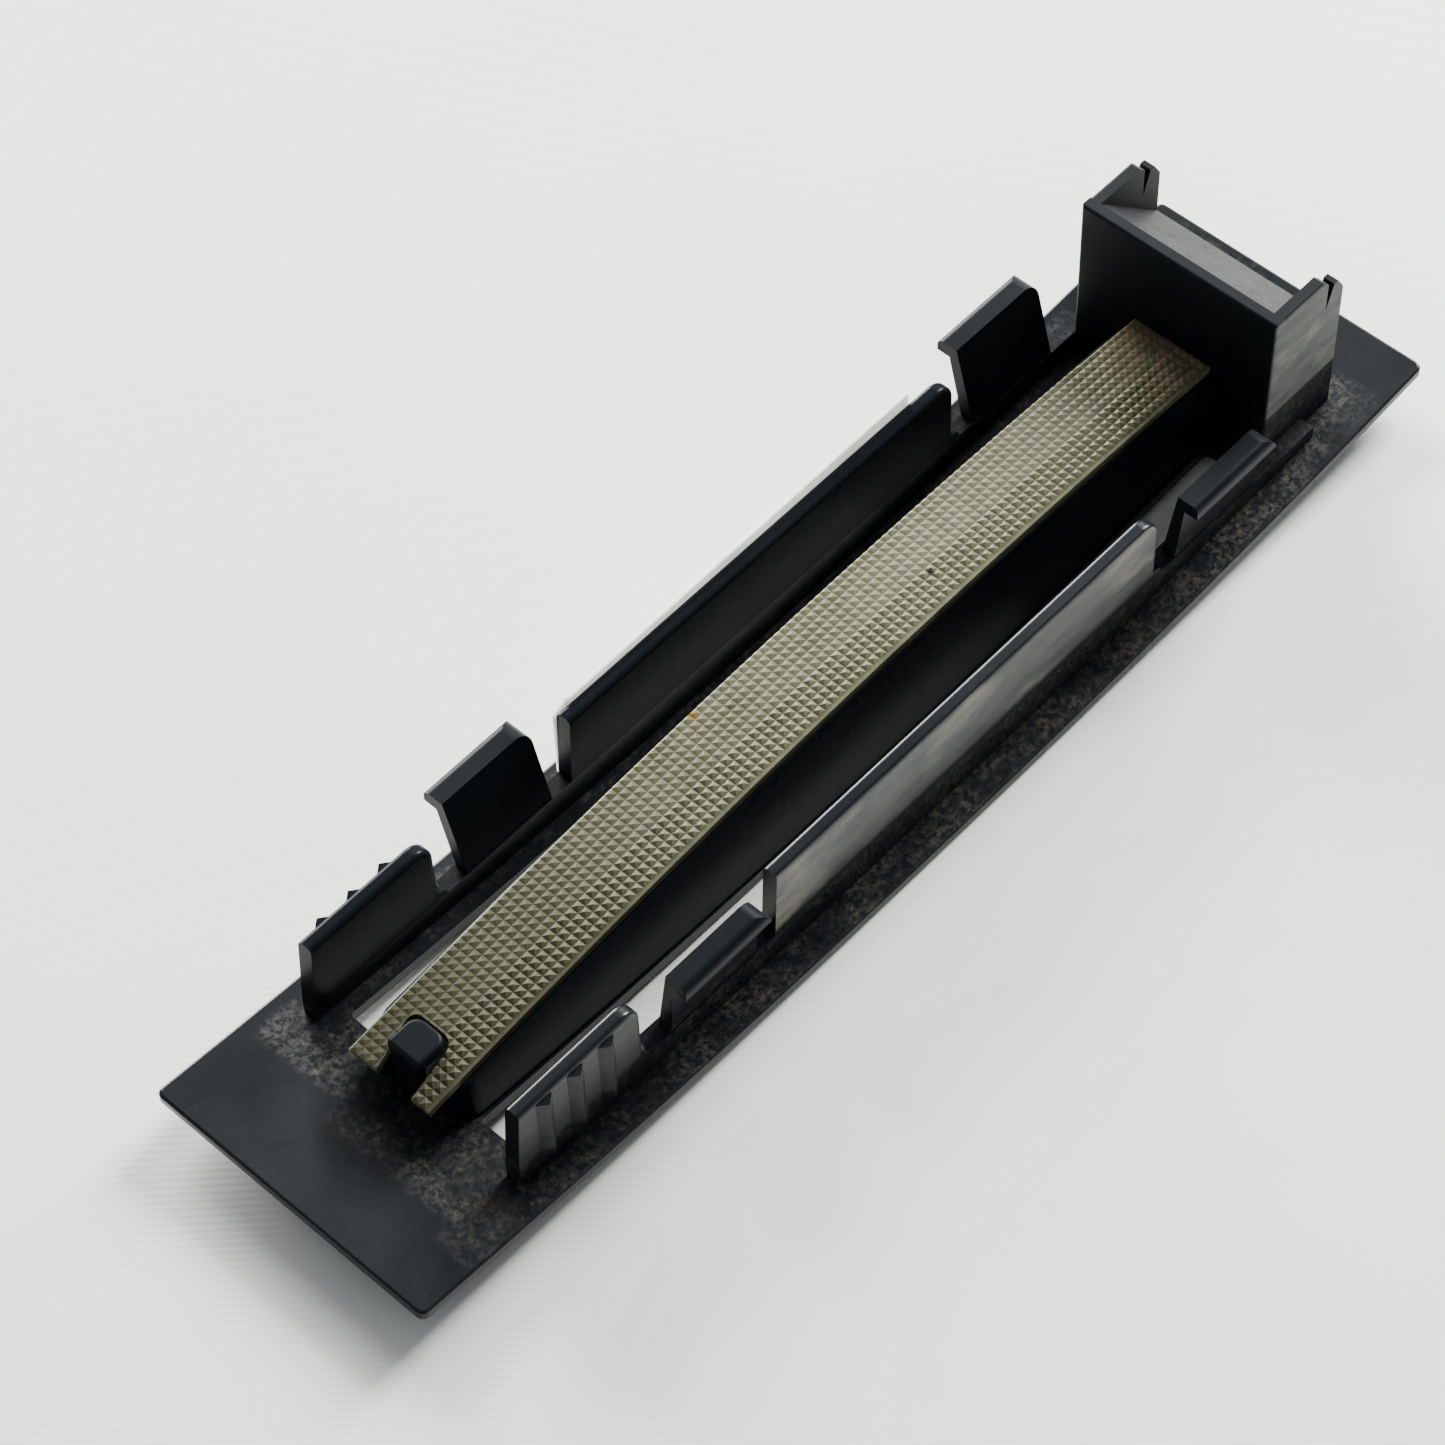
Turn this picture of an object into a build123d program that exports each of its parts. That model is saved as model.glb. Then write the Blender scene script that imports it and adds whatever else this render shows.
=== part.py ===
"""Snap-in slotted carrier: a bowed rectangular plate with two long through slots,
two broken side walls with sprung snap clips, and a raised light channel under a
prismatic strip that ends at a lamp tower.

Frame: X runs along the plate from the plain front end to the tower at the rear,
Y runs across it with the left side at +Y, and Z points up from the bowed face.
The origin is on the lowest line of the bowed face, in the middle of the plate.
"""
import os
from math import cos, radians, sin, sqrt

from build123d import *

os.makedirs("parts", exist_ok=True)

# ---------------------------------------------------------------- driving dimensions, mm
plate_length = 160.0
plate_width = 38.0
plate_thickness = 1.5
plate_bow = 4.2                  # how far the ends stand above the middle
plate_corner_radius = 0.9
plate_edge_radius = 0.35

slot_front_x = -59.9
slot_rear_x = 56.2
slot_inner_y = 7.1
slot_width = 4.5
slot_corner_radius = 0.6

wall_inner_y = 13.5              # inner face of both side walls
wall_thickness = 1.9
wall_top_z = 16.2
wall_edge_radius = 0.6
wall_corner_radius = 2.4         # rounded rear top corner of each wall stretch
sill_top_z = 6.0                 # low strip that every wall and clip grows from
sill_front_x = -62.7
sill_rear_x = 64.5
root_radius = 1.1                # rounded foot of each wall at the notches

grip_front_x = -62.7
grip_rear_x = -44.6
grip_front_lean = 0.9            # the front end leans back by this much at the top
grip_rib_count = 3
grip_rib_pitch = 4.4
grip_rib_first_x = -58.4
grip_rib_base = 2.3
grip_rib_height = 0.9
grip_rib_top_drop = 0.7

side_wall_front_x = -24.9
side_wall_rear_x = 36.6
side_wall_front_lean = 0.5

front_clip_x = -40.5
front_clip_length = 12.7
rear_clip_x = 40.1
rear_clip_length = 13.6
clip_root_thickness = 1.7        # the legs taper from this at the sill
clip_tip_thickness = 1.0         # to this under the lip
clip_lip_reach = 1.75            # how far the lip stands out from the leg
clip_lip_height = 1.8
clip_lip_radius = 0.9
clip_inner_radius = 0.7
clip_under_radius = 0.3
clip_corner_radius = 2.0
clip_root_clearance = 0.05
left_clip_lean = 2.6             # how far the left clips lean outwards at the top
right_clip_lean = 1.4            # how far the right clips lean outwards at the top

channel_front_x = -62.4
channel_half_width = 7.05        # outside, at the plate
channel_draft = 4.6              # degrees
channel_wall = 1.3
channel_corner_radius = 3.4
window_margin = 0.9              # plate left inside the channel walls

strip_half_width = 5.6           # at the front
strip_rear_left_y = 5.1          # the left edge draws in by the tower
strip_thickness = 1.2
strip_front_x = -65.1
strip_apex_x = 18.0
strip_apex_z = 16.4
strip_arch_radius = 590.0

notch_front_left_room = -0.35    # room beside the hook, at the mouth of the strip's notch
notch_front_right_room = 1.55
notch_rear_left_room = 1.95      # and at its inner end; the notch is cut askew
notch_rear_right_room = 0.55
notch_rear_x = -57.9
notch_corner_radius = 1.6

hook_half_width = 1.75
hook_thickness = 1.3
hook_front_x = -62.9
hook_head_overhang = 0.6         # the head stands this much past the stalk on each side
hook_head_reach = 4.3
hook_head_height = 1.3
hook_head_radius = 1.5
hook_edge_radius = 0.45
hook_strip_clearance = 0.08
hook_root_clearance = 0.03
hook_slit = 0.3

tower_front_x = 57.6
tower_half_width = 13.5
tower_top_z = 27.3
tower_wall = 1.5
tower_rear_x = 69.7
roof_rear_z = 17.5
tower_edge_radius = 0.4
cheek_first_prong_x = 66.8       # rear corner of the front prong at the top rear of each cheek
cheek_prong_bevel = 0.9
cheek_prong_drop = 2.6           # the rear prong stands this much lower than the front one
cheek_notch_width = 1.1
cheek_notch_depth = 5.1
cheek_prong_width = 0.7
port_half_width = 4.4            # light port through the tower's front wall
port_height = 7.0

paper_front_x = -24.7
paper_rear_x = 31.3
paper_thickness = 0.5
paper_bottom_z = 5.4
paper_stand_proud = 1.3          # how far the paper strip shows above the wall
paper_tilt = 0.9                 # its rear end stands this much higher

joint_gap = 0.02                 # hairline between pieces that flex past each other

# ---------------------------------------------------------------- derived dimensions
half_length = plate_length / 2
half_width = plate_width / 2
face_radius = (half_length**2 + plate_bow**2) / (2 * plate_bow)
bow_centre_z = plate_thickness + face_radius
outer_radius = face_radius + plate_thickness
slot_outer_y = slot_inner_y + slot_width
slot_mid_y = (slot_inner_y + slot_outer_y) / 2
slot_length = slot_rear_x - slot_front_x
slot_mid_x = (slot_rear_x + slot_front_x) / 2
wall_outer_y = wall_inner_y + wall_thickness
wall_mid_y = wall_inner_y + wall_thickness / 2
clip_root_z = sill_top_z
strip_arch_z = strip_apex_z - strip_arch_radius
strip_rear_x = tower_front_x
channel_top_radius = strip_arch_radius - strip_thickness
hook_root_x = hook_front_x + hook_thickness / 2
hook_head_half_width = hook_half_width + hook_head_overhang
notch_front_left_y = hook_half_width + notch_front_left_room
notch_front_right_y = -(hook_half_width + notch_front_right_room)
notch_rear_left_y = hook_half_width + notch_rear_left_room
notch_rear_right_y = -(hook_half_width + notch_rear_right_room)
tower_inner_x = tower_front_x + tower_wall
cheek_inner_y = tower_half_width - tower_wall
tall = 2 * tower_top_z           # taller than any piece, for cuts that run right through

SIDES = {"left": 1, "right": -1}
CLIP_LEANS = {"left": left_clip_lean, "right": right_clip_lean}
CLIP_SPANS = {
    "front": (front_clip_x, front_clip_length),
    "rear": (rear_clip_x, rear_clip_length),
}


def plate_face_z(x):
    """Height of the plate's inner face at x."""
    return bow_centre_z - sqrt(face_radius**2 - x**2)


def strip_top_z(x):
    """Height of the strip's upper face at x."""
    return strip_arch_z + sqrt(strip_arch_radius**2 - (x - strip_apex_x)**2)


def stand_on_plate():
    """Trim the current part to what stands above the plate's bowed inner face."""
    with Locations((0, 0, bow_centre_z)):
        Cylinder(face_radius, 2 * plate_width, rotation=(90, 0, 0), mode=Mode.INTERSECT)


def save(builder, label):
    """Name a finished piece and write it."""
    builder.part.label = label
    export_step(builder.part, f"parts/{label}.step")


# ---------------------------------------------------------------- face plate
with BuildPart() as face_plate:
    with BuildSketch(Plane.XY):
        RectangleRounded(plate_length, plate_width, plate_corner_radius)
        with Locations((slot_mid_x, slot_mid_y), (slot_mid_x, -slot_mid_y)):
            RectangleRounded(slot_length, slot_width, slot_corner_radius, mode=Mode.SUBTRACT)
        window_front_x = channel_front_x + channel_wall + window_margin
        window_rear_x = tower_front_x - window_margin
        window_half_width = channel_half_width - channel_wall - window_margin
        with Locations(((window_front_x + window_rear_x) / 2, 0)):
            RectangleRounded(
                window_rear_x - window_front_x, 2 * window_half_width, slot_corner_radius,
                mode=Mode.SUBTRACT,
            )
    extrude(amount=tall)
    with Locations((0, 0, bow_centre_z)):
        Cylinder(outer_radius, 2 * plate_width, rotation=(90, 0, 0), mode=Mode.INTERSECT)
        Cylinder(face_radius, 2 * plate_width, rotation=(90, 0, 0), mode=Mode.SUBTRACT)
    rims = face_plate.faces().filter_by(GeomType.CYLINDER)
    for rim in rims.sort_by(SortBy.AREA)[-2:]:
        fillet(rim.outer_wire().edges(), plate_edge_radius)
save(face_plate, "face_plate")


# ---------------------------------------------------------------- side sills
def make_sill(side):
    """Low strip along one side, with a groove under each clip's rolled root."""
    with BuildPart() as sill:
        with BuildSketch(Plane.XY):
            with Locations(((sill_front_x + sill_rear_x) / 2, side * wall_mid_y)):
                Rectangle(sill_rear_x - sill_front_x, wall_thickness)
        extrude(amount=sill_top_z)
        stand_on_plate()
        for start_x, length in CLIP_SPANS.values():
            with Locations((start_x + length / 2, side * wall_mid_y, clip_root_z)):
                Cylinder(
                    clip_root_thickness / 2 + clip_root_clearance, length + 2 * joint_gap,
                    rotation=(0, 90, 0), mode=Mode.SUBTRACT,
                )
    return sill


for side_name, side in SIDES.items():
    save(make_sill(side), f"{side_name}_sill")


# ---------------------------------------------------------------- side walls
def across(side, inner_y, thickness):
    """Plane facing -Y at the higher-Y face of a plate standing on one side."""
    return Plane.XZ.offset(-inner_y - thickness if side > 0 else inner_y)


def make_wall(side, front_x, rear_x, front_lean, rib_count=0):
    """One stretch of side wall: leaning front end, rounded rear top corner, flared foot.

    A grip wall also has upright three-cornered ribs on its outer face.
    """
    with BuildPart() as wall:
        with BuildSketch(across(side, wall_inner_y, wall_thickness)) as outline:
            with BuildLine():
                Polyline(
                    (front_x, sill_top_z),
                    (front_x + front_lean, wall_top_z),
                    (rear_x, wall_top_z),
                    (rear_x, sill_top_z + root_radius),
                )
                RadiusArc(
                    (rear_x, sill_top_z + root_radius), (rear_x + root_radius, sill_top_z),
                    root_radius,
                )
                Line((rear_x + root_radius, sill_top_z), (front_x, sill_top_z))
            make_face()
            top_corners = outline.vertices().group_by(Axis.Y)[-1].sort_by(Axis.X)
            fillet(top_corners[-1], wall_corner_radius)
            fillet(top_corners[0], wall_edge_radius)
        extrude(amount=wall_thickness)
        crown = wall.faces().filter_by(Axis.Z).sort_by(Axis.Z)[-1]
        fillet(crown.edges().filter_by(Axis.X), wall_edge_radius)
        for number in range(rib_count):
            middle = grip_rib_first_x + number * grip_rib_pitch
            with BuildSketch(Plane.XY.offset(sill_top_z)):
                with BuildLine():
                    Polyline(
                        (middle - grip_rib_base / 2, side * (wall_outer_y - wall_edge_radius / 2)),
                        (middle - grip_rib_base / 2, side * wall_outer_y),
                        (middle, side * (wall_outer_y + grip_rib_height)),
                        (middle + grip_rib_base / 2, side * wall_outer_y),
                        (middle + grip_rib_base / 2, side * (wall_outer_y - wall_edge_radius / 2)),
                        close=True,
                    )
                make_face()
            extrude(amount=wall_top_z - grip_rib_top_drop - sill_top_z)
    return wall


for side_name, side in SIDES.items():
    grip_wall = make_wall(side, grip_front_x, grip_rear_x, grip_front_lean, grip_rib_count)
    save(grip_wall, f"{side_name}_grip_wall")
    side_wall = make_wall(side, side_wall_front_x, side_wall_rear_x, side_wall_front_lean)
    save(side_wall, f"{side_name}_side_wall")


# ---------------------------------------------------------------- snap clips
def make_clip(side, start_x, length, lean):
    """A leaning, tapered leg with a rolled root and a level outward lip along its top.

    The section's first axis points outwards and its second up, from the middle of the root.
    """
    root_plane = Plane(
        origin=(start_x, side * wall_mid_y, clip_root_z), x_dir=(0, side, 0), z_dir=(side, 0, 0)
    )
    root_half = clip_root_thickness / 2
    height = wall_top_z - clip_root_z
    inner_reach = lean - root_half
    leg_reach = inner_reach + clip_tip_thickness
    rear_x = start_x + length
    with BuildPart() as clip:
        with BuildSketch(root_plane) as section:
            with BuildLine():
                Polyline(
                    (-root_half, 0),
                    (inner_reach, height),
                    (leg_reach + clip_lip_reach, height),
                    (leg_reach + clip_lip_reach, height - clip_lip_height),
                    (leg_reach, height - clip_lip_height),
                    (root_half, 0),
                    close=True,
                )
            make_face()
            levels = section.vertices().group_by(Axis.Y)
            top, under = levels[-1], levels[-2]
            fillet(top.sort_by(Axis.X)[-1], clip_lip_radius)
            fillet(top.sort_by(Axis.X)[0], clip_inner_radius)
            fillet(under.sort_by(Axis.X)[-1], clip_under_radius)
            Circle(root_half)
        extrude(amount=side * length)
        with BuildSketch(Plane.XZ) as outline:
            with Locations(((start_x + rear_x) / 2, wall_top_z)):
                Rectangle(length, 2 * height, align=(Align.CENTER, Align.MAX))
            top = outline.vertices().group_by(Axis.Y)[-1]
            fillet(top.sort_by(Axis.X)[-1], clip_corner_radius)
            fillet(top.sort_by(Axis.X)[0], clip_under_radius)
        extrude(amount=plate_width, both=True, mode=Mode.INTERSECT)
    return clip


for end_name, (start_x, length) in CLIP_SPANS.items():
    for side_name, side in SIDES.items():
        clip = make_clip(side, start_x, length, CLIP_LEANS[side_name])
        save(clip, f"{side_name}_{end_name}_clip")


# ---------------------------------------------------------------- light channel
def channel_outline(inset):
    """Plan of the channel, inset from its outer faces, with a rounded front."""
    with BuildSketch(Plane.XY) as outline:
        front_x = channel_front_x + inset
        rear_x = tower_front_x + tower_half_width
        half = channel_half_width - inset
        with Locations(((front_x + rear_x) / 2, 0)):
            Rectangle(rear_x - front_x, 2 * half)
        fillet(
            outline.vertices().group_by(Axis.X)[0],
            max(channel_corner_radius - inset, channel_wall / 2),
        )
    return outline.sketch


def make_channel_wall(side):
    """One half of the drafted channel, open at the rear and beside the hook."""
    with BuildPart() as wall:
        add(channel_outline(0))
        extrude(amount=strip_apex_z, taper=channel_draft)
        add(channel_outline(channel_wall))
        extrude(amount=strip_apex_z, taper=channel_draft, mode=Mode.SUBTRACT)
        with Locations((strip_apex_x, 0, strip_arch_z)):
            Cylinder(
                channel_top_radius, plate_width, rotation=(90, 0, 0), mode=Mode.INTERSECT
            )
        stand_on_plate()
        with Locations((tower_front_x, 0, 0)):
            Box(
                tall, tall, tall, mode=Mode.SUBTRACT,
                align=(Align.MIN, Align.CENTER, Align.CENTER),
            )
        with Locations((channel_front_x, 0, 0)):
            Box(tall, 2 * (hook_half_width + hook_slit), tall, mode=Mode.SUBTRACT)
        with Locations((0, side * tall / 2, 0)):
            Box(2 * plate_length, tall, tall, mode=Mode.INTERSECT)
    return wall


for side_name, side in SIDES.items():
    save(make_channel_wall(side), f"{side_name}_channel_wall")


# ---------------------------------------------------------------- prismatic strip
with BuildPart() as prism_strip:
    with BuildSketch(Plane.XY) as plan:
        with BuildLine():
            Polyline(
                (strip_front_x, strip_half_width),
                (strip_front_x, -strip_half_width),
                (strip_rear_x, -strip_half_width),
                (strip_rear_x, strip_rear_left_y),
                close=True,
            )
        make_face()
        with BuildLine():
            Polyline(
                (strip_front_x - strip_thickness, notch_front_left_y),
                (strip_front_x, notch_front_left_y),
                (notch_rear_x, notch_rear_left_y),
                (notch_rear_x, notch_rear_right_y),
                (strip_front_x, notch_front_right_y),
                (strip_front_x - strip_thickness, notch_front_right_y),
                close=True,
            )
        make_face(mode=Mode.SUBTRACT)
        fillet(
            plan.vertices().filter_by_position(Axis.X, notch_rear_x - 1, notch_rear_x + 1),
            notch_corner_radius,
        )
    extrude(amount=tall)
    with Locations((strip_apex_x, 0, strip_arch_z)):
        Cylinder(strip_arch_radius, plate_width, rotation=(90, 0, 0), mode=Mode.INTERSECT)
        Cylinder(channel_top_radius, plate_width, rotation=(90, 0, 0), mode=Mode.SUBTRACT)
save(prism_strip, "prism_strip")


# ---------------------------------------------------------------- retaining hook
with BuildPart() as retaining_hook:
    root_z = plate_face_z(hook_root_x) + hook_thickness / 2 + hook_root_clearance
    head_bottom_z = strip_top_z(hook_front_x + hook_head_reach) + hook_strip_clearance
    head_top_z = head_bottom_z + hook_head_height
    with BuildSketch(Plane.XZ.offset(-hook_half_width)):
        with Locations((hook_root_x, root_z)):
            Circle(hook_thickness / 2)
            Rectangle(
                hook_thickness, head_top_z - root_z, align=(Align.CENTER, Align.MIN)
            )
    extrude(amount=2 * hook_half_width)
    with BuildSketch(Plane.XY.offset(head_bottom_z)) as head:
        with Locations((hook_front_x + hook_head_reach / 2, 0)):
            Rectangle(hook_head_reach, 2 * hook_head_half_width)
        fillet(head.vertices().group_by(Axis.X)[-1], hook_head_radius)
        fillet(head.vertices().group_by(Axis.X)[0], hook_edge_radius)
    extrude(amount=hook_head_height)
    fillet(retaining_hook.faces().sort_by(Axis.Z)[-1].edges(), hook_edge_radius)
save(retaining_hook, "retaining_hook")


# ---------------------------------------------------------------- lamp tower
with BuildPart() as tower_front_wall:
    with BuildSketch(Plane.YZ.offset(tower_front_x)):
        with Locations((0, tower_top_z / 2)):
            Rectangle(2 * tower_half_width, tower_top_z)
        with Locations((0, plate_face_z(tower_front_x) + port_height / 2)):
            Rectangle(2 * port_half_width, port_height, mode=Mode.SUBTRACT)
    extrude(amount=tower_wall)
    front_face = tower_front_wall.faces().filter_by(Axis.X).sort_by(Axis.X)[0]
    top_edge = front_face.edges().filter_by(Axis.Y).sort_by(Axis.Z)[-1]
    side_edges = front_face.edges().filter_by(Axis.Z).sort_by(Axis.Y)
    fillet([top_edge, side_edges[0], side_edges[-1]], tower_edge_radius)
    stand_on_plate()
save(tower_front_wall, "tower_front_wall")

with BuildPart() as tower_roof:
    slope_x = tower_rear_x - tower_inner_x
    slope_z = tower_top_z - roof_rear_z
    with BuildSketch(Plane.XZ.offset(-cheek_inner_y)):
        with BuildLine():
            Polyline(
                (tower_inner_x, tower_top_z),
                (tower_rear_x, roof_rear_z),
                (tower_rear_x, roof_rear_z - tower_wall),
                (tower_rear_x - tower_wall, roof_rear_z - tower_wall),
                (tower_inner_x, tower_top_z - tower_wall - slope_z * tower_wall / slope_x),
                close=True,
            )
        make_face()
    extrude(amount=2 * cheek_inner_y)
save(tower_roof, "tower_roof")


def make_cheek(side):
    """Side cheek of the tower, with a forked top rear corner."""
    notch_x = cheek_first_prong_x + cheek_notch_width
    prong_x = notch_x + cheek_prong_width
    prong_top_z = tower_top_z - cheek_prong_drop + cheek_prong_bevel
    with BuildPart() as cheek:
        with BuildSketch(across(side, cheek_inner_y, tower_wall)):
            with BuildLine():
                Polyline(
                    (tower_inner_x, 0),
                    (tower_inner_x, tower_top_z),
                    (cheek_first_prong_x - cheek_prong_bevel, tower_top_z),
                    (cheek_first_prong_x, tower_top_z - cheek_prong_bevel),
                    (cheek_first_prong_x, tower_top_z - cheek_notch_depth),
                    (notch_x, prong_top_z),
                    (prong_x, prong_top_z),
                    (tower_rear_x, prong_top_z - 2 * cheek_prong_bevel),
                    (tower_rear_x, 0),
                    close=True,
                )
            make_face()
        extrude(amount=tower_wall)
        outer_face = cheek.faces().filter_by(Axis.Y).sort_by(Axis.Y)[-1 if side > 0 else 0]
        top_edge = outer_face.edges().filter_by(Axis.X).sort_by(Axis.Z)[-1]
        fillet(top_edge, tower_edge_radius)
        stand_on_plate()
    return cheek


for side_name, side in SIDES.items():
    save(make_cheek(side), f"{side_name}_tower_cheek")


# ---------------------------------------------------------------- paper strip
with BuildPart() as paper_side_strip:
    with BuildSketch(across(1, wall_outer_y, paper_thickness)):
        with BuildLine():
            Polyline(
                (paper_front_x, paper_bottom_z),
                (paper_front_x, wall_top_z - paper_tilt),
                (
                    paper_front_x + paper_stand_proud + paper_tilt,
                    wall_top_z + paper_stand_proud - paper_tilt,
                ),
                (paper_rear_x, wall_top_z + paper_stand_proud),
                (paper_rear_x, paper_bottom_z),
                close=True,
            )
        make_face()
    extrude(amount=paper_thickness)
save(paper_side_strip, "paper_side_strip")
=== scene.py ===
# %% [markdown]
# A snap-in negative carrier: a bowed charcoal plate with two slots, walls and spring clips along
# both sides, a prismatic strip over a light channel, and a lamp tower at the far end.
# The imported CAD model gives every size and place. Blender adds what CAD leaves plain: the rows of
# small prisms on the strip, the finishes, the dust and wear, the light and the camera.

# %% Load the frame
from math import asin, pi, radians

import bpy
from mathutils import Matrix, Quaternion, Vector


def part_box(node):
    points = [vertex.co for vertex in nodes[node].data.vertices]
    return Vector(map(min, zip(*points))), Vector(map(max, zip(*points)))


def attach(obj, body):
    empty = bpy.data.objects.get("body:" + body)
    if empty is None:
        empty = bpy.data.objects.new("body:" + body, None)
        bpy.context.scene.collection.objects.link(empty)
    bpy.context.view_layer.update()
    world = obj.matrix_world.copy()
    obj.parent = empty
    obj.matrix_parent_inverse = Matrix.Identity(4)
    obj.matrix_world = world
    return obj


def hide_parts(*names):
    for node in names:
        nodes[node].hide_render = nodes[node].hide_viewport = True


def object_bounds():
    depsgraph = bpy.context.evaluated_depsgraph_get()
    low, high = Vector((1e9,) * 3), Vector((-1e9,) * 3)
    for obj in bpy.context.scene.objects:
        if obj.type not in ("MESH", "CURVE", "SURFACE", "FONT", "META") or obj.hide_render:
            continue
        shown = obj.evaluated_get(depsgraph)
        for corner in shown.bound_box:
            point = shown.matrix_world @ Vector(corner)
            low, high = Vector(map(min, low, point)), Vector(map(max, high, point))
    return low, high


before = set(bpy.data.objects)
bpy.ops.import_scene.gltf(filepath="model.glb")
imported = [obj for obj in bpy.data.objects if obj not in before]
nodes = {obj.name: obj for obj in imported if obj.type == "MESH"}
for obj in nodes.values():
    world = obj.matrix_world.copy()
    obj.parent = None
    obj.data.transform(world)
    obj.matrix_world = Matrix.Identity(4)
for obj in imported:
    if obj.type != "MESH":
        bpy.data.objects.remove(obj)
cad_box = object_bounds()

MM = 0.001
box_low, box_high = cad_box
print("CAD box in mm:", [round((h - l) / MM, 1) for l, h in zip(box_low, box_high)])

# %% [markdown]
# The camera looks down on the carrier from beyond its plain end, on the right-hand side. The lens
# is long for so small a thing, so the two ends look nearly the same size, as they do to the eye
# from arm's length. A little roll sets the carrier's slant across the frame.

# %% Camera
camera_place = Vector((-193.7, -176.5, 370.5)) * MM
camera_aim = Vector((-6.5, 9.0, 1.5)) * MM
camera_roll = radians(-2.77)
lens_length = 105
nearest_seen = 10 * MM
bpy.ops.object.camera_add(location=camera_place)
camera = bpy.context.object
camera.data.lens = lens_length
camera.data.clip_start = nearest_seen
camera.rotation_mode = "QUATERNION"
looking = (camera_aim - camera_place).to_track_quat("-Z", "Y")
camera.rotation_quaternion = looking @ Quaternion((0, 0, 1), camera_roll)
bpy.context.scene.camera = camera
print("camera distance in mm:", round((camera_aim - camera_place).length / MM))

# %% [markdown]
# Most finishes here are built from the same few nodes: a noise, a soft band along one axis, and a
# mix. These helpers add one node each and return its output, so a material reads from top to
# bottom like a recipe. They read Object coordinates, which are metres from the frame's origin.

# %% Node helpers
def add_node(tree, kind, settings=None, **inputs):
    """Adds a node. An input is named, or numbered as i0, i1; it takes a value or a socket."""
    made = tree.nodes.new(kind)
    for name, value in (settings or {}).items():
        setattr(made, name, value)
    for name, value in inputs.items():
        numbered = name[0] == "i" and name[1:].isdigit()
        socket = made.inputs[int(name[1:]) if numbered else name]
        if isinstance(value, bpy.types.NodeSocket):
            tree.links.new(value, socket)
        else:
            socket.default_value = value
    return made


def maths(tree, operation, first, second=0.0):
    return add_node(tree, "ShaderNodeMath", {"operation": operation}, i0=first, i1=second).outputs[0]


def stretch(tree, place, scale):
    """Scales a position along each axis, so that a pattern can be drawn out one way."""
    return add_node(tree, "ShaderNodeMapping", Vector=place, Scale=scale).outputs[0]


def noise(tree, place, per_metre, detail=4.0, roughness=0.6):
    made = add_node(tree, "ShaderNodeTexNoise", Vector=place, Scale=per_metre, Detail=detail,
                    Roughness=roughness)
    return made.outputs["Fac"]


def ramp(tree, value, low, high, to_low=0.0, to_high=1.0):
    """Turns a value between low and high smoothly into one between to_low and to_high."""
    made = add_node(tree, "ShaderNodeMapRange", {"interpolation_type": "SMOOTHSTEP"}, i0=value,
                    i1=low, i2=high, i3=to_low, i4=to_high)
    return made.outputs[0]


def band(tree, value, low, high, soft):
    """1 between low and high, fading to 0 over soft outside them; all in metres."""
    rising = ramp(tree, value, low - soft, low)
    falling = ramp(tree, value, high, high + soft, 1.0, 0.0)
    return maths(tree, "MULTIPLY", rising, falling)


def mix_colour(tree, amount, first, second):
    made = add_node(tree, "ShaderNodeMix", {"data_type": "RGBA"}, i0=amount, i6=first, i7=second)
    return made.outputs[2]


def region(tree, axes, low, high, soft):
    """1 inside a box from low to high, in mm, fading over soft mm; None leaves an axis open."""
    inside = None
    for axis, lowest, highest in zip(axes, low, high):
        if lowest is None:
            continue
        along = band(tree, axis, lowest * MM, highest * MM, soft * MM)
        inside = along if inside is None else maths(tree, "MULTIPLY", inside, along)
    return inside


def roughen(tree, shader, height, strength, distance):
    """Gives a shader a bump from a height pattern."""
    bump = add_node(tree, "ShaderNodeBump", Strength=strength, Distance=distance, Height=height)
    tree.links.new(bump.outputs[0], shader.inputs["Normal"])


def new_material(name):
    made = bpy.data.materials.new(name)
    made.use_nodes = True
    tree = made.node_tree
    place = tree.nodes.new("ShaderNodeTexCoord").outputs["Object"]
    axes = add_node(tree, "ShaderNodeSeparateXYZ", i0=place).outputs
    return made, tree, tree.nodes["Principled BSDF"], place, axes


def dress(material, *names):
    """Gives CAD nodes a material in place of their packed one."""
    for name in names:
        slots = nodes[name].data.materials
        slots.clear()
        slots.append(material)


print("helpers ready")

# %% [markdown]
# The moulding is charcoal plastic with a faint spark-eroded grain, old enough to have lost its
# shine in patches. Dust has packed into the corners, brown where it is thick. Some outer faces are
# pale, partly worn by hands and edges and partly a painted sheen where they catch the light. One
# function makes it, so that every piece shares the plastic and differs only in where it is dusty,
# where it is pale and how much it shines.

# %% Charcoal moulding
charcoal = (0.0030, 0.0044, 0.0062, 1)
charcoal_worn = (0.0050, 0.0066, 0.0080, 1)
dust_brown = (0.046, 0.040, 0.032, 1)
dust_dark = (0.012, 0.011, 0.010, 1)
# The pale grey of outer faces is partly wear and partly painted sheen.
rub_and_sheen_grey = (0.070, 0.074, 0.074, 1)
rub_tan = (0.165, 0.155, 0.132, 1)
broad_per_metre, fine_per_metre, grain_per_metre, specks_per_metre = 38, 900, 5200, 2600
worn_dulling = 0.07
dust_dulling = 0.4


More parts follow.
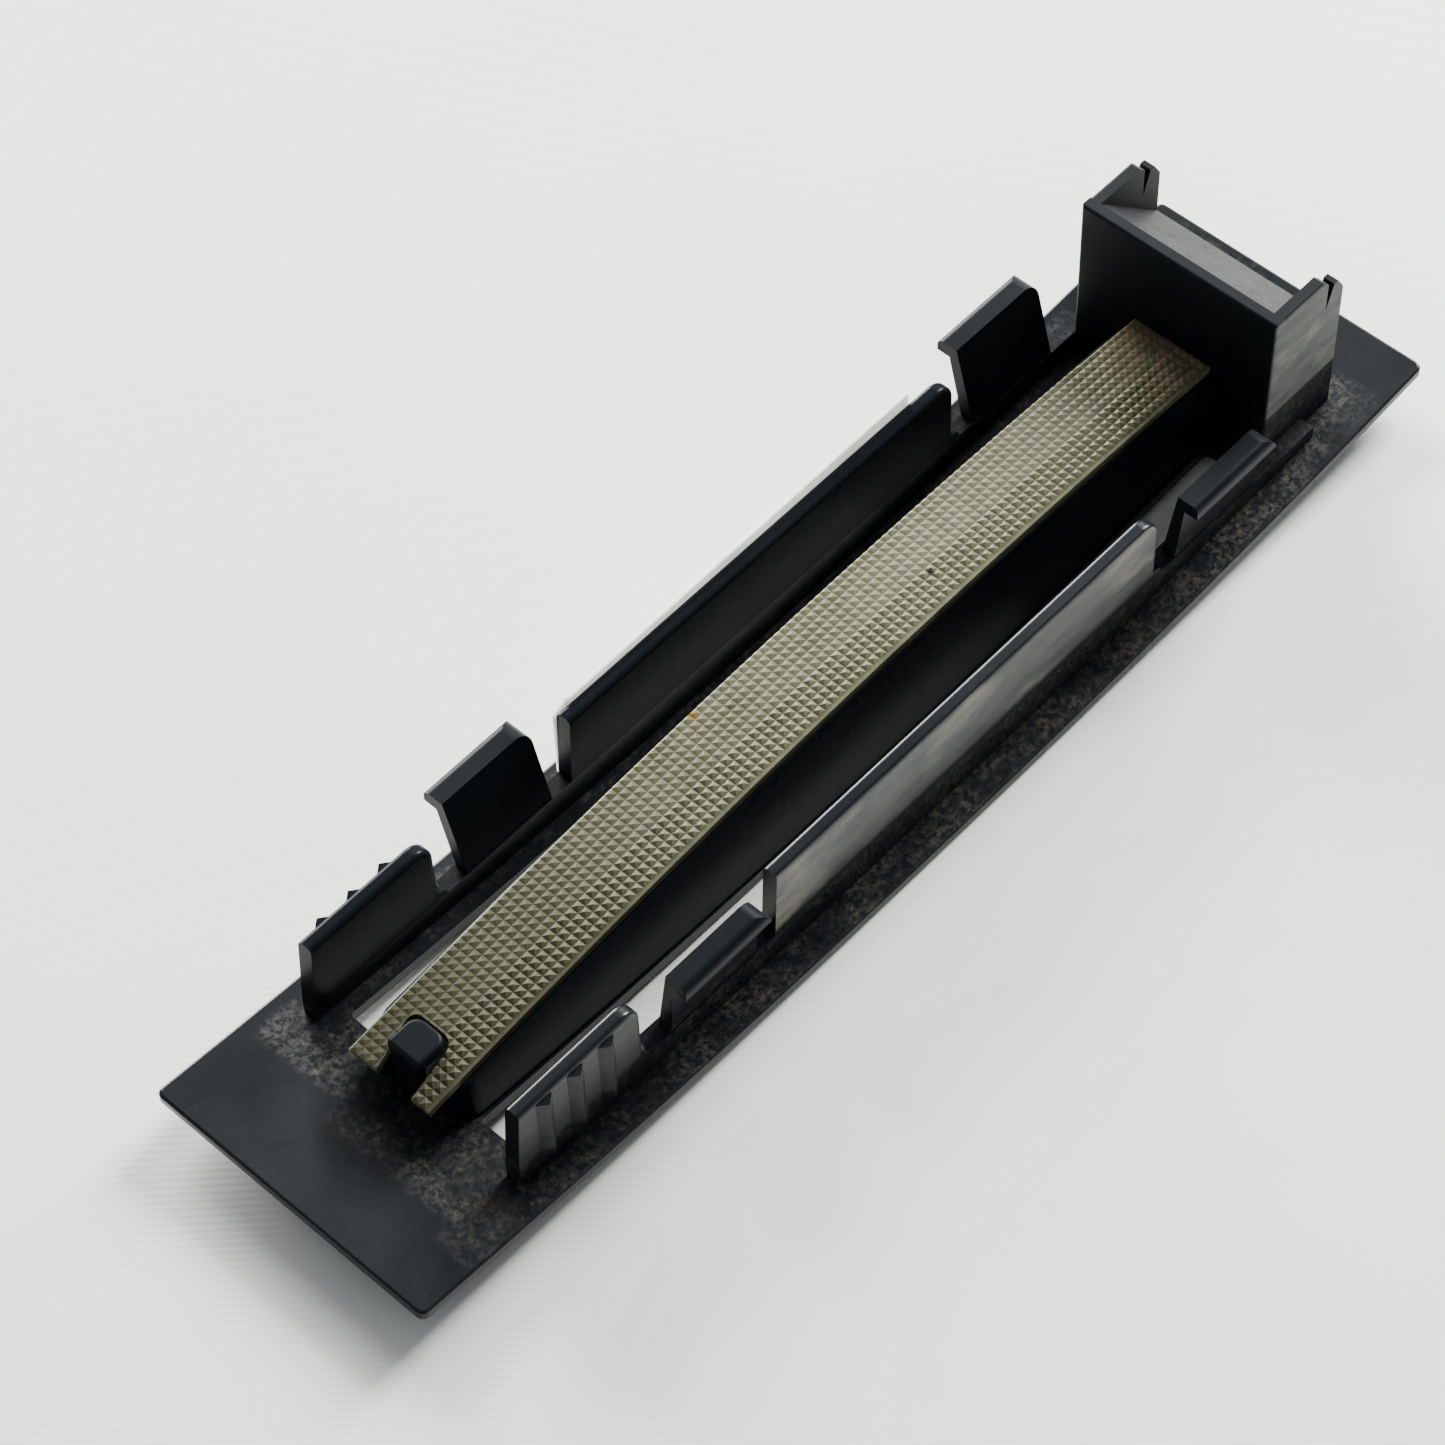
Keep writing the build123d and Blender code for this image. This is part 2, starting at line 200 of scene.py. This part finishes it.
def rub_pale_and_sheen(tree, place, axes, colour, rubbed_and_sheen, rub_and_sheen_side):
    """Paints pale streaks on faces that look left (1) or right (-1): partly wear, partly painted sheen.
    """
    normal = tree.nodes["Texture Coordinate"].outputs["Normal"]
    facing = add_node(tree, "ShaderNodeSeparateXYZ", i0=normal).outputs[1]
    side = ramp(tree, maths(tree, "MULTIPLY", facing, rub_and_sheen_side), 0.55, 0.9)
    streaks = noise(tree, stretch(tree, place, (0.25, 1, 1)), 700, 3)
    streaks = ramp(tree, streaks, 0.25, 0.7, 0.55, 1.0)
    tan_patch = noise(tree, stretch(tree, place, (0.5, 1, 1)), 110, 4)
    tone = mix_colour(tree, ramp(tree, tan_patch, 0.54, 0.66), rub_and_sheen_grey, rub_tan)
    for low, high, soft, strength in rubbed_and_sheen:
        inside = maths(tree, "MULTIPLY", region(tree, axes, low, high, soft), side)
        amount = maths(tree, "MULTIPLY", inside, maths(tree, "MULTIPLY", streaks, strength))
        colour = mix_colour(tree, amount, colour, tone)
    return colour


def pack_dust(tree, place, axes, fine, colour, rough, dusty):
    """Lays clumps and drifts of dust over a colour, and dulls the plastic under them."""
    dust = 0.0
    for low, high, soft, strength in dusty:
        inside = maths(tree, "MULTIPLY", region(tree, axes, low, high, soft), strength)
        dust = maths(tree, "MAXIMUM", dust, inside)
    clumps = ramp(tree, noise(tree, place, 1300, 8, 0.78), 0.42, 0.62)
    drifts = ramp(tree, noise(tree, place, 190, 4, 0.65), 0.38, 0.60, 0.25, 1.0)
    dust = maths(tree, "MULTIPLY", dust, maths(tree, "MULTIPLY", clumps, drifts))
    tone = mix_colour(tree, ramp(tree, fine, 0.35, 0.65), dust_dark, dust_brown)
    duller = maths(tree, "ADD", rough, maths(tree, "MULTIPLY", dust, dust_dulling))
    return mix_colour(tree, dust, colour, tone), duller


def moulding(name, dusty=(), rubbed_and_sheen=(), rub_and_sheen_side=0.0, gloss=0.17, roughness=0.26):
    """Charcoal plastic. The dust list and the list of pale faces (wear and painted sheen) give regions as
    (low, high, soft, strength) in mm.
    """
    made, tree, shader, place, axes = new_material(name)
    shader.inputs["Specular IOR Level"].default_value = gloss
    broad = noise(tree, place, broad_per_metre, 5)
    fine = noise(tree, place, fine_per_metre, 3)
    grain = noise(tree, place, grain_per_metre, 2)
    specks = ramp(tree, noise(tree, place, specks_per_metre, 2), 0.70, 0.76, 0.0, 0.35)
    colour = mix_colour(tree, ramp(tree, broad, 0.35, 0.72), charcoal, charcoal_worn)
    colour = mix_colour(tree, specks, colour, dust_brown)
    rough = ramp(tree, broad, 0.3, 0.8, roughness, roughness + worn_dulling)
    if rubbed_and_sheen:
        colour = rub_pale_and_sheen(tree, place, axes, colour, rubbed_and_sheen, rub_and_sheen_side)
    if dusty:
        colour, rough = pack_dust(tree, place, axes, fine, colour, rough, dusty)
    tree.links.new(colour, shader.inputs["Base Color"])
    tree.links.new(rough, shader.inputs["Roughness"])
    height = maths(tree, "ADD", maths(tree, "MULTIPLY", fine, 0.6), maths(tree, "MULTIPLY", grain, 0.4))
    roughen(tree, shader, height, 0.16, 0.12 * MM)
    return made


print("moulding recipe ready")

# %% [markdown]
# Each list below says where dust lies or where a face is pale, as boxes in millimetres: the
# plate's margins and its plain end, the foot of the walls, the outer faces of the walls and the
# tower. That pale is partly wear and partly painted sheen. The channel's insides see little of the
# light and are the least polished, so they get the least shine, and the lamp has baked the tower
# and its roof matt.

# %% Dress the moulding
inner_gloss = 0.045
wall_gloss = {"left": inner_gloss, "right": 0.17}
plate_dust = [
    ((-72, -18, None), (60, -14.6, None), 1.6, 1.0),
    ((-69, -14, None), (-59, 3, None), 2.5, 0.95),
    ((-67, 3, None), (-59, 16, None), 2.0, 0.8),
    ((56, -17, None), (72, -13, None), 2.0, 0.9),
    ((66, 4, None), (78, 14, None), 3.0, 0.5),
    ((-60, 13, None), (60, 17, None), 1.5, 0.6),
]
sill_dust = [((-70, -17, 0), (70, -13, 5.4), 1.0, 0.8), ((-70, 13, 0), (70, 17, 5.4), 1.0, 0.5)]
wall_dust = [((-64, -17, 5.5), (-44, -14, 8.2), 1.0, 0.7)]
# Pale outer faces of the walls: partly wear, partly painted sheen.
wall_rub_and_sheen = {
    "left": [((-24, 14.8, 8.6), (36, 16, 15.4), 1.4, 0.5)],
    "right": [((-26, -16, 7.5), (38, -14.8, 15.6), 1.4, 0.95),
              ((-63, -17, 7.6), (-44, -14.8, 15.4), 1.0, 0.5)],
}
clip_dust = [((-45, -20, 5.5), (60, -12, 7.5), 0.8, 0.6)]
tower_dust = [((56, -14, 2), (72, -13, 11.4), 0.6, 0.6)]
# Pale upper outer face of the tower cheek: partly wear, partly painted sheen.
tower_rub_and_sheen = [((57, -14, 12), (71, -13, 28), 0.5, 1.0)]
roof_dust = [((59.6, -12, 15), (72, 12, 27.5), 0.4, 0.45)]

plate_finish = moulding("plate_charcoal", plate_dust)
sill_finish = moulding("sill_charcoal", sill_dust)
channel_finish = moulding("channel_charcoal", gloss=inner_gloss)
clip_finish = moulding("clip_charcoal", clip_dust, gloss=0.06, roughness=0.34)
tower_finish = moulding("tower_charcoal", tower_dust, tower_rub_and_sheen, -1.0, 0.06, 0.40)
roof_finish = moulding("roof_charcoal", roof_dust, gloss=0.08, roughness=0.45)
for side, outwards in (("left", 1.0), ("right", -1.0)):
    wall_finish = moulding(side + "_wall_charcoal", wall_dust, wall_rub_and_sheen[side], outwards, wall_gloss[side])
    dress(sill_finish, side + "_sill")
    dress(wall_finish, side + "_grip_wall", side + "_side_wall")
    dress(channel_finish, side + "_channel_wall")
    dress(clip_finish, side + "_front_clip", side + "_rear_clip")
    dress(tower_finish, side + "_tower_cheek")
dress(plate_finish, "face_plate")
dress(tower_finish, "tower_front_wall")
dress(roof_finish, "tower_roof")
dress(clip_finish, "retaining_hook")
print("charcoal finishes:", [m.name for m in bpy.data.materials if "charcoal" in m.name])

# %% [markdown]
# The white strip on the outside of the left wall is soft paper or thin foam. Paper scatters light
# just under its surface and shows a faint fibre, so it is matt with a broad, shallow bump. It also
# gets a faint blue-white glow of its own, painted light that brightens it beyond what the lamps give.

# %% Paper strip
paper_grey = (0.58, 0.57, 0.54, 1)
paper_white = (0.74, 0.74, 0.72, 1)
paper_finish, tree, shader, place, axes = new_material("white_paper")
cloudy = noise(tree, place, 90, 3)
paper_colour = mix_colour(tree, ramp(tree, cloudy, 0.3, 0.7), paper_grey, paper_white)
tree.links.new(paper_colour, shader.inputs["Base Color"])
shader.inputs["Roughness"].default_value = 0.9
shader.inputs["Subsurface Weight"].default_value = 0.8
shader.inputs["Subsurface Radius"].default_value = (1.0, 1.0, 1.0)
shader.inputs["Subsurface Scale"].default_value = 1.5 * MM
# Painted light: a faint glow of its own brightens the paper.
shader.inputs["Emission Color"].default_value = (0.95, 0.97, 1.0, 1)
shader.inputs["Emission Strength"].default_value = 0.10
fibre = noise(tree, place, 1400, 6)
roughen(tree, shader, fibre, 0.45, 0.12 * MM)
dress(paper_finish, "paper_side_strip")
paper_low, paper_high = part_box("paper_side_strip")
print("paper strip length in mm:", round((paper_high.x - paper_low.x) / MM, 1))

# %% [markdown]
# Mesh operators work on whatever is selected in the piece being edited. These helpers do the
# selecting by rule rather than by number, so a rule still finds its faces when a size changes.

# %% Mesh helpers
def deselect():
    """Ends up in object mode with nothing selected."""
    if bpy.context.object and bpy.context.object.mode != "OBJECT":
        bpy.ops.object.mode_set(mode="OBJECT")
    bpy.ops.object.select_all(action="DESELECT")


def pick(piece, kind, wanted):
    """In edit mode, selects just the FACE, EDGE or VERT parts that wanted(part) is true for."""
    parts = {"FACE": piece.data.polygons, "EDGE": piece.data.edges, "VERT": piece.data.vertices}
    bpy.ops.mesh.select_mode(type=kind)
    bpy.ops.mesh.select_all(action="DESELECT")
    bpy.ops.object.mode_set(mode="OBJECT")
    picked = [part for part in parts[kind] if wanted(part)]
    for part in picked:
        part.select = True
    bpy.ops.object.mode_set(mode="EDIT")
    return len(picked)


def start_piece(add, **how):
    """Adds a unit primitive, moves its place and turn into its mesh, and opens it for editing."""
    deselect()
    add(size=1, **how)
    bpy.ops.object.transform_apply(location=True, rotation=True, scale=True)
    bpy.ops.object.mode_set(mode="EDIT")
    return bpy.context.object


def make_active(piece):
    """Leaves just this piece selected, in object mode, for the next operator."""
    deselect()
    piece.select_set(True)
    bpy.context.view_layer.objects.active = piece


print("mesh helpers ready")

# %% [markdown]
# The strip is the piece that catches the eye: translucent ivory plastic, moulded with rows of tiny
# pyramids that once spread the lamp's light along the carrier. Its section is drawn once, spun
# along the arch a pyramid's length at a time, and every little square on top is then poked up to a
# point. Spinning keeps the rows square to the arch, which bending a flat grid would not. The CAD
# strip holds its place, its arch and its notch, and the tallest pyramids end at the CAD surface.

# %% Draw the strip's section
strip_low, strip_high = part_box("prism_strip")
arch_apex = Vector((18.0, 0, 16.4)) * MM
arch_radius = 590 * MM
strip_half_width = 5.6 * MM
strip_thickness = 1.2 * MM
right_border = 0.42 * MM
left_border = 0.05 * MM
prism_rows = 10
prism_depth = 0.28 * MM
prism_pitch = (2 * strip_half_width - right_border - left_border) / prism_rows

arch_centre = arch_apex - Vector((0, 0, arch_radius))
start_angle = asin((strip_low.x - arch_apex.x) / arch_radius)
end_angle = asin((strip_high.x - arch_apex.x) / arch_radius)
section_height = strip_thickness - prism_depth
section_middle = arch_apex - Vector((0, 0, prism_depth + section_height / 2))

strip = start_piece(bpy.ops.mesh.primitive_plane_add, location=section_middle, rotation=(0, pi / 2, 0))
bpy.ops.transform.resize(value=(1, 2 * strip_half_width, section_height), center_override=section_middle)
for line in range(prism_rows + 1):
    row_y = -strip_half_width + right_border + line * prism_pitch
    bpy.ops.mesh.select_all(action="SELECT")
    bpy.ops.mesh.bisect(plane_co=(0, row_y, 0), plane_no=(0, 1, 0))
bpy.ops.mesh.select_all(action="SELECT")
bpy.ops.transform.rotate(value=-start_angle, orient_axis="Y", center_override=arch_centre)
print("prism pitch in mm:", round(prism_pitch / MM, 2))

# %% [markdown]
# Spin carries the section along the arch. Poke then puts a point in the middle of each little
# square, raised by the depth of a prism, which is how the mould's cutter left them: four-sided
# pyramids edge to edge, with a plain border along the right. The rows on the left are worn
# flatter, so they get a smaller rise. The left edge was trimmed slightly aslant towards the
# tower, straight through the prisms, so a bisect does the same here.

# %% Spin the section and raise the prisms
worn_depth = 0.15 * MM
worn_from_y = -1.2 * MM
strip_taper = 0.5 * MM
facing_up = 0.9
rows_low = right_border - strip_half_width
rows_high = strip_half_width - left_border
steps = round((end_angle - start_angle) * (arch_radius - prism_depth) / prism_pitch)

bpy.ops.mesh.select_all(action="SELECT")
bpy.ops.mesh.spin(steps=steps, angle=start_angle - end_angle, center=arch_centre, axis=(0, 1, 0))
bpy.ops.mesh.select_all(action="SELECT")
bpy.ops.mesh.remove_doubles(threshold=0.001 * MM)
bpy.ops.mesh.normals_make_consistent(inside=False)
prisms = 0
for low_y, high_y, depth in ((rows_low, worn_from_y, prism_depth), (worn_from_y, rows_high, worn_depth)):
    prisms += pick(strip, "FACE", lambda face: face.normal.z > facing_up
                   and low_y < face.center.y < high_y and len(face.vertices) == 4)
    bpy.ops.mesh.poke(offset=depth)
left_edge = Vector((strip_low.x, strip_half_width, 0))
taper_normal = Vector((strip_taper, strip_high.x - strip_low.x, 0)).normalized()
bpy.ops.mesh.select_all(action="SELECT")
bpy.ops.mesh.bisect(plane_co=left_edge, plane_no=taper_normal, use_fill=True, clear_outer=True)
deselect()
strip.name = strip.data.name = "prism_strip_moulding"
print("steps along the arch:", steps, "prisms:", prisms)

# %% [markdown]
# The strip's plain end is notched for the hook. The notch was cut a little askew, so its cutter is
# a block whose front corners are pulled over before its two inner corners are rounded. A Boolean
# takes it out of the strip.

# %% Cut the notch
notch_front_x = strip_low.x - 1.2 * MM
notch_rear_x = -57.9 * MM
notch_front_y = (-3.3 * MM, 1.4 * MM)
notch_rear_y = (-2.3 * MM, 3.7 * MM)
notch_corner = 1.6 * MM
cutter_height = 20 * MM
hair = 0.1 * MM
notch_middle = Vector(((notch_front_x + notch_rear_x) / 2, sum(notch_rear_y) / 2, strip_low.z))

cutter = start_piece(bpy.ops.mesh.primitive_cube_add, location=notch_middle)
bpy.ops.transform.resize(
    value=(notch_rear_x - notch_front_x, notch_rear_y[1] - notch_rear_y[0], cutter_height),
    center_override=notch_middle)
for rear_y, front_y in zip(notch_rear_y, notch_front_y):
    pick(cutter, "VERT", lambda corner: corner.co.x < notch_middle.x and abs(corner.co.y - rear_y) < hair)
    bpy.ops.transform.translate(value=(0, front_y - rear_y, 0))


def inner_corner(edge):
    """True for the two upright edges at the notch's closed end."""
    first, second = (cutter.data.vertices[v].co for v in edge.vertices)
    return min(first.x, second.x) > notch_middle.x and abs(first.z - second.z) > cutter_height / 2


pick(cutter, "EDGE", inner_corner)
bpy.ops.mesh.bevel(offset=notch_corner, segments=8, affect="EDGES")
make_active(strip)
cut = strip.modifiers.new("notch", "BOOLEAN")
cut.object = cutter
cut.operation = "DIFFERENCE"
cut.solver = "EXACT"
bpy.ops.object.modifier_apply(modifier=cut.name)
bpy.data.objects.remove(cutter)
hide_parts("prism_strip")
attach(strip, "carrier")
print("strip faces after the notch:", len(strip.data.polygons))

# %% [markdown]
# Old clear plastic yellows. The ivory is a little translucent, with a hint of green in its depth
# and faint clouds drawn out along its length. It darkens towards the plain end, where fingers and
# dirt reach it, and a painted shade darkens it a little towards the tower.

# %% Ivory plastic
ivory_deep = (0.088, 0.089, 0.049, 1)
ivory_pale = (0.122, 0.124, 0.074, 1)
ivory_painted_shade = (0.050, 0.050, 0.028, 1)
ivory_near = (0.046, 0.045, 0.025, 1)
ivory, tree, shader, place, axes = new_material("ivory_prism")
clouds = noise(tree, stretch(tree, place, (0.4, 1, 1)), 160, 4)
colour = mix_colour(tree, ramp(tree, clouds, 0.3, 0.7), ivory_deep, ivory_pale)
# Painted shade: the strip darkens a little towards the tower.
far_end_shade = ramp(tree, axes[0], 10 * MM, 40 * MM, 0.0, 0.35)
colour = mix_colour(tree, far_end_shade, colour, ivory_painted_shade)
near_end = ramp(tree, axes[0], -50 * MM, -8 * MM, 0.85, 0.0)
colour = mix_colour(tree, near_end, colour, ivory_near)
tree.links.new(ramp(tree, clouds, 0.3, 0.7, 0.34, 0.46), shader.inputs["Roughness"])
shader.inputs["Specular IOR Level"].default_value = 0.09
shader.inputs["Subsurface Weight"].default_value = 0.20
shader.inputs["Subsurface Radius"].default_value = (1.0, 0.9, 0.5)
shader.inputs["Subsurface Scale"].default_value = 1.2 * MM
strip.data.materials.clear()
strip.data.materials.append(ivory)
print("ivory plastic ready")

# %% [markdown]
# Painted shade tells the prisms apart: the valleys are painted a darker grey, found by each point's
# distance from the arch's centre. Brown stains cover the last stretch, where the lamp cooked it, the
# trimmed left edge gets a pale painted highlight, and there are a few specks and two larger spots.

# %% Painted valley shade, edge highlight, stains and spots
valley_shade_grey = (0.030, 0.030, 0.017, 1)
stain_brown = (0.130, 0.092, 0.060, 1)
speck_brown = (0.05, 0.045, 0.035, 1)
edge_highlight_pale = (0.26, 0.26, 0.20, 1)
spots = (((-14.9, 5.0), 0.35, (0.150, 0.078, 0.022, 1)), ((15.0, -1.8), 0.25, (0.02, 0.018, 0.015, 1)))

up = maths(tree, "SUBTRACT", axes[2], arch_centre.z)
along = maths(tree, "SUBTRACT", axes[0], arch_centre.x)
square = maths(tree, "ADD", maths(tree, "MULTIPLY", up, up), maths(tree, "MULTIPLY", along, along))
from_centre = maths(tree, "SQRT", square)
# Painted shade: the valleys between the prisms are darkened, deepest at their floor.
valley_shade = ramp(tree, from_centre, arch_radius - prism_depth, arch_radius - 0.35 * prism_depth, 1.0, 0.0)
uneven_valley_shade = ramp(tree, noise(tree, place, 500, 4), 0.3, 0.7, 0.10, 0.50)
colour = mix_colour(tree, maths(tree, "MULTIPLY", valley_shade, uneven_valley_shade), colour, valley_shade_grey)
cooked = ramp(tree, axes[0], 45 * MM, 57 * MM)
blotches = ramp(tree, noise(tree, place, 650, 6, 0.7), 0.42, 0.56)
colour = mix_colour(tree, maths(tree, "MULTIPLY", cooked, blotches), colour, stain_brown)
specks = ramp(tree, noise(tree, place, 620, 2), 0.735, 0.765)
colour = mix_colour(tree, specks, colour, speck_brown)
slope = strip_taper / (strip_high.x - strip_low.x)
beside = maths(tree, "ADD", axes[1], maths(tree, "MULTIPLY", axes[0], slope))
trimmed = left_edge.y + left_edge.x * slope
# Painted highlight: a pale band along the trimmed left edge.
edge_highlight = ramp(tree, beside, trimmed - 0.22 * MM, trimmed - 0.06 * MM, 0.0, 0.8)
colour = mix_colour(tree, edge_highlight, colour, edge_highlight_pale)
for (spot_x, spot_y), spread, spot_colour in spots:
    spot = region(tree, axes, (spot_x - spread, spot_y - spread, None),
                  (spot_x + spread, spot_y + spread, None), spread)
    colour = mix_colour(tree, spot, colour, spot_colour)
tree.links.new(colour, shader.inputs["Base Color"])
print("nodes in the ivory finish:", len(tree.nodes))

# %% [markdown]
# The carrier lies on plain white cloth under soft window light. The floor is one large sheet with
# a very faint weave, level with the lowest line of the bowed face. Two wide lamps stand for windows,
# one beyond the tower and one low on the left, and a pale sky fills the shadows.

# %% Floor and light
cloth_grey = (0.690, 0.705, 0.675, 1)
cloth_white = (0.745, 0.760, 0.728, 1)
floor_size = 4
deselect()
bpy.ops.mesh.primitive_plane_add(size=floor_size, location=(0, 0, box_low.z))
floor = bpy.context.object
floor.name = "floor"
cloth, tree, shader, place, axes = new_material("floor_cloth")
shade = ramp(tree, noise(tree, place, 14, 4), 0.3, 0.7)
tree.links.new(mix_colour(tree, shade, cloth_grey, cloth_white), shader.inputs["Base Color"])
shader.inputs["Roughness"].default_value = 0.85
weave = add_node(tree, "ShaderNodeTexWave", {"wave_type": "BANDS", "bands_direction": "DIAGONAL"},
                 Vector=place, Scale=520).outputs["Fac"]
roughen(tree, shader, weave, 0.10, 0.1 * MM)
floor.data.materials.append(cloth)


def add_softbox(name, place, size, power, colour):
    """An area light at place, pointing at the carrier."""
    bpy.ops.object.light_add(type="AREA", location=place)
    light = bpy.context.object
    light.name = name
    light.data.size = size
    light.data.energy = power
    light.data.color = colour
    light.rotation_mode = "QUATERNION"
    light.rotation_quaternion = (-Vector(place)).to_track_quat("-Z", "Y")


add_softbox("window", (0.86, 0.06, 0.52), 0.40, 40, (1.0, 0.99, 0.97))
add_softbox("side_window", (0.40, 0.84, 0.36), 0.50, 40, (1.0, 1.0, 0.98))
world = bpy.data.worlds.new("soft_sky")
bpy.context.scene.world = world
world.use_nodes = True
sky = world.node_tree.nodes["Background"]
sky.inputs["Color"].default_value = (0.93, 0.96, 1.0, 1)
sky.inputs["Strength"].default_value = 0.46
print("light and floor ready")
